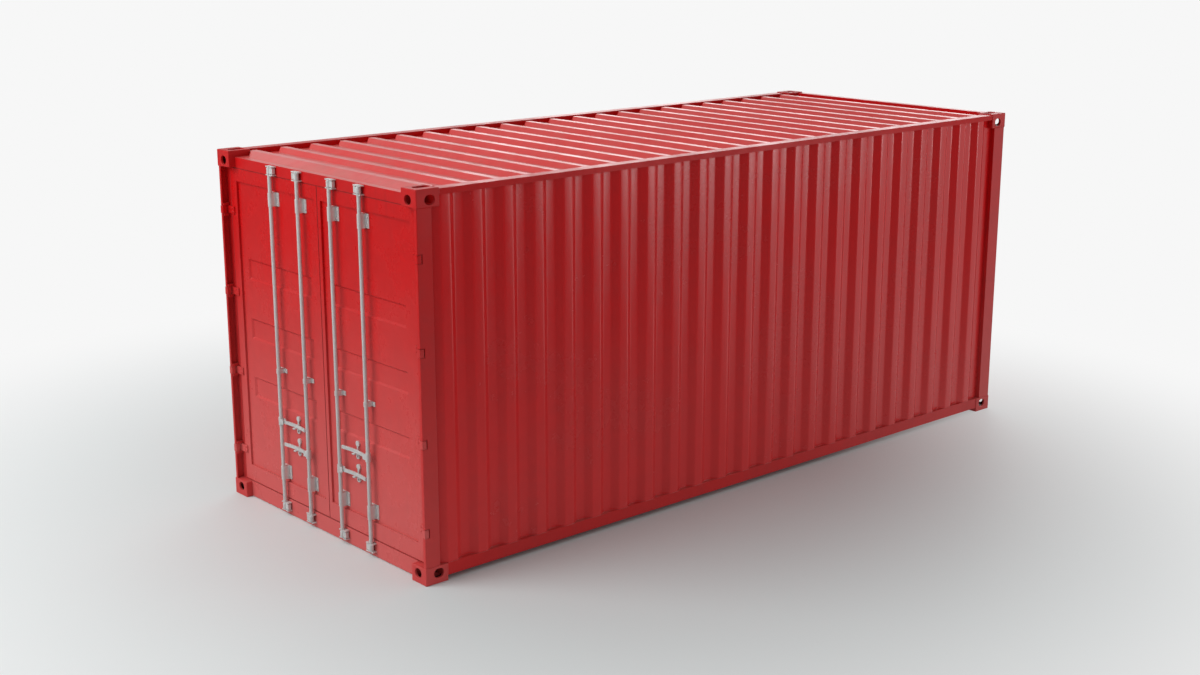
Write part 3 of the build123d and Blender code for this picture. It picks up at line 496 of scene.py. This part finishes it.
# Finishes by the first words of a node's name; every other node has the plain red paint
FINISHES = (
    (("corner_casting",), casting_paint),
    (("lock_rod", "lock_handle", "rod_brackets", "handle_catches", "cam_keepers"), galvanised),
    (("door_seal",), seal_rubber),
    (("floor_boards",), floor_plywood),
    (("door_panel", "door_frame", "door_sill", "door_hinges"), door_paint),
    (("bottom_rail", "front_bottom_rail"), rail_paint),
    (("top_rail", "front_top_rail"), top_rail_paint),
    (("roof_sheet",), roof_paint),
    (("side_wall", "front_wall"), wall_paint),
)
for node_name, cad_object in nodes.items():
    finish = next((look for starts, look in FINISHES if node_name.startswith(starts)), red_paint)
    cad_object.data.materials.clear()
    cad_object.data.materials.append(finish)


def new_piece(name, builder, material, body):
    """Turns a bmesh into an object that rides on a body."""
    mesh = bpy.data.meshes.new(name)
    builder.to_mesh(mesh)
    builder.free()
    mesh.materials.append(material)
    made = bpy.data.objects.new(name, mesh)
    bpy.context.scene.collection.objects.link(made)
    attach(made, body)
    return made


def skin(builder, rings, smooth=False):
    """Faces from each ring of points to the next."""
    for first, last in zip(rings, rings[1:]):
        for turn in range(len(first)):
            after = (turn + 1) % len(first)
            face = builder.faces.new((first[turn], first[after], last[after], last[turn]))
            face.smooth = smooth


def ring_of(builder, centre, first_way, second_way, radius, sides):
    """A ring of points around a centre."""
    ring = []
    for turn in range(sides):
        angle = math.tau * turn / sides
        arm = first_way * math.cos(angle) + second_way * math.sin(angle)
        ring.append(builder.verts.new(centre + arm * radius))
    return ring


def rounded(points, radius, steps):
    """A line through the points with its corners rounded to the radius."""
    line = [points[0]]
    for before, corner, after in zip(points, points[1:], points[2:]):
        towards = (before - corner).normalized()
        onwards = (after - corner).normalized()
        turn = math.pi - towards.angle(onwards)
        cut = radius * math.tan(turn / 2)
        centre = corner + (towards + onwards).normalized() * (radius / math.cos(turn / 2))
        first = corner + towards * cut - centre
        last = corner + onwards * cut - centre
        for step in range(steps + 1):
            share = step / steps
            arm = first * math.sin((1 - share) * turn) + last * math.sin(share * turn)
            line.append(centre + arm / math.sin(turn))
    line.append(points[-1])
    return line


def pressed_line(start, finish, strips, flats):
    """A wall's outer face as (along, outward) points: outer flats between a strip at each end."""
    wave = OUTER_FLAT + 2 * SLOPE
    pitch = (finish - start - sum(strips) - wave) / (flats - 1)
    points = [Vector((start, 0))]
    for index in range(flats):
        rise = start + strips[0] + index * pitch
        points.append(Vector((rise, 0)))
        points.append(Vector((rise + SLOPE, press_depth)))
        points.append(Vector((rise + SLOPE + OUTER_FLAT, press_depth)))
        points.append(Vector((rise + wave, 0)))
    points.append(Vector((finish, 0)))
    return rounded(points, BEND_RADIUS, BEND_STEPS)


def cut_line(line, along):
    """Adds a point to the line at a place along it."""
    index = next(i for i, point in enumerate(line) if point[0] > along)
    before, after = line[index - 1], line[index]
    line.insert(index, before.lerp(after, (along - before[0]) / (after[0] - before[0])))


def pressed_sheet(name, line, place, levels, top_reach):
    """A wall sheet along the line, whose last level is only reached inside top_reach."""
    builder = bmesh.new()
    columns = []
    for along, outward in line:
        columns.append([builder.verts.new(place(along, outward, level)) for level in levels])
    for index in range(len(line) - 1):
        middle = (line[index][0] + line[index + 1][0]) / 2
        rows = len(levels) - 1 if abs(middle) < top_reach else len(levels) - 2
        first, last = columns[index], columns[index + 1]
        for row in range(rows):
            builder.faces.new((first[row], last[row], last[row + 1], first[row + 1]))
    loose = [vertex for vertex in builder.verts if not vertex.link_faces]
    bmesh.ops.delete(builder, geom=loose, context="VERTS")
    for face in builder.faces:
        face.smooth = True
    for edge in builder.edges:
        edge.smooth = not edge.is_boundary
    made = new_piece(name, builder, wall_paint, "container")
    thickness = made.modifiers.new("sheet", "SOLIDIFY")
    thickness.thickness = SHEET
    thickness.offset = -1
    return made


# Side walls, lower at their ends, where they pass under the top castings
side_line = pressed_line(wall_start, wall_end, SIDE_STRIPS, SIDE_FLATS)
cut_line(side_line, -casting_inner)
cut_line(side_line, casting_inner)
side_levels = (wall_foot, high_casting_foot, wall_top)
side_face = wall_inner + SHEET


def on_right_side(along, outward, level):
    return along, -side_face - outward, level


def on_left_side(along, outward, level):
    return along, side_face + outward, level


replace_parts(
    pressed_sheet("side_wall_sheet_right", side_line, on_right_side, side_levels, casting_inner),
    "side_wall_right",
)
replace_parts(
    pressed_sheet("side_wall_sheet_left", side_line[::-1], on_left_side, side_levels, casting_inner),
    "side_wall_left",
)

# Front wall
front_line = pressed_line(*span("front_wall", "y"), FRONT_STRIPS, FRONT_FLATS)
front_foot, front_top = span("front_wall", "z")
front_face = span("front_wall", "x")[0] + SHEET
front_reach = span("front_wall", "y")[1]


def on_front(along, outward, level):
    return front_face + outward, along, level


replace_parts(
    pressed_sheet(
        "front_wall_sheet", front_line, on_front, (front_foot, high_casting_foot, front_top), front_reach
    ),
    "front_wall",
)


def bead(builder, path, radius, ripple):
    """A welded bead along the path, thicker and thinner from ripple to ripple."""
    points = []
    for first, last in zip(path, path[1:]):
        first, last = Vector(first), Vector(last)
        count = max(1, round((last - first).length / ripple * 2))
        points += [first.lerp(last, step / count) for step in range(count)]
    points.append(Vector(path[-1]))
    rings = []
    for index, point in enumerate(points):
        ahead = points[min(index + 1, len(points) - 1)] - points[max(index - 1, 0)]
        side_way = ahead.cross(NEARLY_UP).normalized()
        up_way = side_way.cross(ahead).normalized()
        size = radius if index % 2 else radius * RIPPLE_SHARE
        rings.append(ring_of(builder, point, side_way, up_way, size, BEAD_SIDES))
    skin(builder, rings)
    builder.faces.new(rings[0][::-1])
    builder.faces.new(rings[-1])


def weld_piece(name, paths, radius, ripple):
    """Beads along the paths, as one piece."""
    builder = bmesh.new()
    for path in paths:
        bead(builder, path, radius, ripple)
    for face in builder.faces:
        face.smooth = True
    bmesh.ops.recalc_face_normals(builder, faces=builder.faces)
    new_piece(name, builder, red_paint, "container")


def post_paths():
    """Round each post where it meets a casting, and down each side rail's ends."""
    post_inner, post_outer = span("door_post_left", "y")
    door_end, door_back = span("door_post_left", "x")
    front_back, front_end = span("front_post_left", "x")
    bottom_side, top_side = span("bottom_rail_left", "y")[1], span("top_rail_left", "y")[1]
    bottom_low = span("bottom_rail_left", "z")[0]
    top_low, top_high = span("top_rail_left", "z")
    rails = (
        (bottom_side + WELD_OFF, bottom_low + WELD_SHORT, low_casting_top - WELD_SHORT),
        (top_side, top_low + WELD_SHORT, top_high - WELD_SHORT),
    )
    paths = []
    for across in (-1, 1):
        inner, outer = across * (post_inner + WELD_RADIUS), across * (post_outer + WELD_OFF)
        for level in (low_casting_top + WELD_OFF, high_casting_foot - WELD_OFF):
            for end, back in ((door_end - WELD_OFF, door_back), (front_end + WELD_OFF, front_back)):
                paths.append([(end, inner, level), (end, outer, level), (back, outer, level)])
        for end in (WELD_OFF - casting_inner, casting_inner - WELD_OFF):
            for side, low, high in rails:
                paths.append([(end, across * side, low), (end, across * side, high)])
    return paths


def foot_paths():
    """Along each side wall's foot, from casting to casting."""
    limit = casting_inner - WELD_SHORT
    level = wall_foot + WELD_OFF
    foot = [(along, side_face + FOOT_OFF + outward) for along, outward in side_line]
    foot = [(along, side) for along, side in foot if abs(along) < limit]
    return [[(along, across * side, level) for along, side in foot] for across in (-1, 1)]


weld_piece("post_welds", post_paths(), WELD_RADIUS, WELD_RIPPLE)
weld_piece("wall_foot_welds", foot_paths(), FOOT_RADIUS, FOOT_RIPPLE)


def head(builder, centre, towards, radius, height, sides):
    """A rivet or screw head that stands on a face and looks along a direction."""
    towards = Vector(towards)
    first_way = towards.orthogonal().normalized()
    second_way = towards.cross(first_way)
    rings = []
    for share, rise in HEAD_PROFILE:
        middle = Vector(centre) + towards * height * rise
        rings.append(ring_of(builder, middle, first_way, second_way, radius * share, sides))
    skin(builder, rings, smooth=True)
    builder.faces.new(rings[0][::-1])
    builder.faces.new(rings[-1])


def leaf_lip(side_name, across):
    """A thin lip of seal rubber around a leaf, in front of its seal."""
    low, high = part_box("door_frame_" + side_name)
    front = low[0] + LIP_SET_BACK
    back = front + LIP_THICKNESS
    near, far = sorted((abs(low[1]), abs(high[1])))
    near_outer, far_outer = sorted((across * (near - LIP_NEAR), across * (far + LIP_FAR)))
    near_inner, far_inner = sorted((across * (near + LIP_UNDER), across * (far - LIP_UNDER)))
    outer = (near_outer, low[2] - LIP_LOW, far_outer, high[2] + LIP_HIGH)
    inner = (near_inner, low[2] + LIP_UNDER, far_inner, high[2] - LIP_UNDER)
    builder = bmesh.new()
    loops = []
    for depth, edges in ((front, outer), (front, inner), (back, inner), (back, outer)):
        left, foot, right, top = edges
        corners = ((left, foot), (right, foot), (right, top), (left, top))
        loops.append([builder.verts.new((depth, y, z)) for y, z in corners])
    skin(builder, loops + loops[:1])
    bmesh.ops.recalc_face_normals(builder, faces=builder.faces)
    bmesh.ops.bevel(builder, geom=builder.edges[:], offset=LIP_EDGE, segments=2, affect="EDGES")
    return builder


def hinge_rivets(side_name, across):
    """Four rivet heads on each hinge blade of a leaf."""
    low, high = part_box("door_hinges_" + side_name)
    face = span("door_frame_" + side_name, "x")[0] - BLADE_THICKNESS
    start = min(abs(low[1]), abs(high[1]))
    first = low[2] + BLADE_HEIGHT / 2
    pitch = (high[2] - low[2] - BLADE_HEIGHT) / (HINGES - 1)
    builder = bmesh.new()
    for hinge in range(HINGES):
        for rise in (-RIVET_RISE, RIVET_RISE):
            for column in RIVET_COLUMNS:
                place = (face, across * (start + column), first + pitch * hinge + rise)
                head(builder, place, (-1, 0, 0), RIVET_RADIUS, RIVET_HEIGHT, RIVET_SIDES)
    return builder


def floor_screws():
    """Screw heads in the floor panels, in rows over the crossmembers."""
    first, last = span("crossmembers", "x")
    pitch = (last - first - FLANGE_WIDTH) / (CROSSMEMBERS - 1)
    floor_side = span("floor_boards", "y")[0]
    floor_top = span("floor_boards", "z")[1]
    builder = bmesh.new()
    for row in range(CROSSMEMBERS):
        along = first + FLANGE_WIDTH / 2 + pitch * row
        for panel in range(PANELS):
            middle = floor_side + HALF_PANEL + PANEL_PITCH * panel
            for offset in (-SCREW_OFFSET, SCREW_OFFSET):
                place = (along, middle + offset, floor_top)
                head(builder, place, (0, 0, 1), SCREW_RADIUS, SCREW_HEIGHT, SCREW_SIDES)
    return builder


for side_name, across in SIDES:
    body = "door_" + side_name
    new_piece("door_lip_" + side_name, leaf_lip(side_name, across), seal_rubber, body)
    new_piece("hinge_rivets_" + side_name, hinge_rivets(side_name, across), red_paint, body)
new_piece("floor_screws", floor_screws(), galvanised, "container")


def floor_material():
    """A pale floor that fades into the backdrop, and that reflections show as the backdrop."""
    material, tree, shader = new_material("studio_floor")
    shader.inputs["Base Color"].default_value = FLOOR_PALE
    shader.inputs["Roughness"].default_value = 0.6
    shader.inputs["Specular IOR Level"].default_value = 0.2
    path = node(tree, "ShaderNodeLightPath")
    place = object_place(tree)
    distance = node(tree, "ShaderNodeVectorMath", {1: FADE_CENTRE}, operation="DISTANCE")
    tree.links.new(place, distance.inputs[0])
    fade = ramp(tree, distance.outputs["Value"], FADE_START, FADE_END)
    behind = reach(tree, place, FLOOR_BACKDROP_WAY)
    mirrored = ramp(tree, behind, -0.5, 2.5, FLOOR_AWAY, FLOOR_TOWARDS)
    glow = node(tree, "ShaderNodeEmission", {"Color": BACKDROP_WHITE})
    strength = maths(tree, "MAXIMUM", path.outputs["Is Camera Ray"], mirrored)
    tree.links.new(strength, glow.inputs["Strength"])
    seen = maths(tree, "MULTIPLY", fade, path.outputs["Is Camera Ray"])
    seen = maths(tree, "MAXIMUM", seen, path.outputs["Is Glossy Ray"])
    mix = node(tree, "ShaderNodeMixShader")
    tree.links.new(seen, mix.inputs[0])
    tree.links.new(shader.outputs["BSDF"], mix.inputs[1])
    tree.links.new(glow.outputs["Emission"], mix.inputs[2])
    output = next(made for made in tree.nodes if made.type == "OUTPUT_MATERIAL")
    tree.links.new(mix.outputs["Shader"], output.inputs["Surface"])
    return material


def add_floor():
    """The floor under the container, which isn't part of it."""
    mesh = bpy.data.meshes.new("studio_floor")
    builder = bmesh.new()
    bmesh.ops.create_grid(builder, x_segments=1, y_segments=1, size=FLOOR_HALF_SIZE)
    builder.to_mesh(mesh)
    builder.free()
    mesh.materials.append(floor_material())
    floor = bpy.data.objects.new("studio_floor", mesh)
    bpy.context.scene.collection.objects.link(floor)


def add_sky():
    """Soft light from all round, which the camera and reflections see as a white backdrop."""
    world = bpy.data.worlds.new("studio")
    bpy.context.scene.world = world
    world.use_nodes = True
    tree = world.node_tree
    tree.nodes.clear()
    output = tree.nodes.new("ShaderNodeOutputWorld")
    sky = node(tree, "ShaderNodeBackground", {"Color": (1, 1, 1, 1)})
    path = node(tree, "ShaderNodeLightPath")
    direction = node(tree, "ShaderNodeTexCoord").outputs["Generated"]
    behind = reach(tree, direction, SKY_BACKDROP_WAY)
    mirrored = ramp(tree, behind, 0.1, 0.75, SKY_AWAY - SKY_LIGHT, SKY_TOWARDS - SKY_LIGHT)
    glossy = maths(tree, "MULTIPLY", path.outputs["Is Glossy Ray"], mirrored)
    seen = maths(tree, "MAXIMUM", path.outputs["Is Camera Ray"], path.outputs["Is Transmission Ray"])
    seen = maths(tree, "MULTIPLY", seen, BACKDROP_LEVEL - SKY_LIGHT)
    strength = maths(tree, "ADD", seen, maths(tree, "ADD", glossy, SKY_LIGHT))
    tree.links.new(strength, sky.inputs["Strength"])
    tree.links.new(sky.outputs[0], output.inputs["Surface"])


def add_lamp(name, place, aim, size, power):
    """A round area lamp that looks at a point and that the camera doesn't see."""
    light = bpy.data.lights.new(name, "AREA")
    light.shape = "DISK"
    light.size = size
    light.energy = power
    holder = bpy.data.objects.new(name, light)
    bpy.context.scene.collection.objects.link(holder)
    holder.location = place
    holder.visible_camera = False
    holder.rotation_mode = "QUATERNION"
    holder.rotation_quaternion = (Vector(aim) - Vector(place)).to_track_quat("-Z", "Y")


def add_camera():
    """The scene's camera, which looks down by its elevation."""
    level = math.cos(CAMERA_ELEVATION)
    back = Vector((
        math.sin(CAMERA_AZIMUTH) * level, -math.cos(CAMERA_AZIMUTH) * level, math.sin(CAMERA_ELEVATION)
    ))
    settings = bpy.data.cameras.new("camera")
    settings.lens = LENS
    settings.sensor_width = SENSOR_WIDTH
    settings.clip_end = CLIP_END
    camera = bpy.data.objects.new("camera", settings)
    bpy.context.scene.collection.objects.link(camera)
    camera.location = CAMERA_PLACE
    camera.rotation_mode = "QUATERNION"
    camera.rotation_quaternion = (-back).to_track_quat("-Z", "Y")
    bpy.context.scene.camera = camera


add_floor()
add_sky()
add_lamp("key_light", place=(-11, 3, 8.2), aim=(0, 0, 1), size=10, power=940)
add_lamp("fill_light", place=(10, -12, 2.4), aim=(1, 0, 1), size=4.5, power=290)
add_lamp("back_light", place=(12, 10.5, 5.5), aim=(0.5, 0, 1.5), size=11, power=560)
add_camera()
bpy.context.scene.view_settings.view_transform = "Standard"
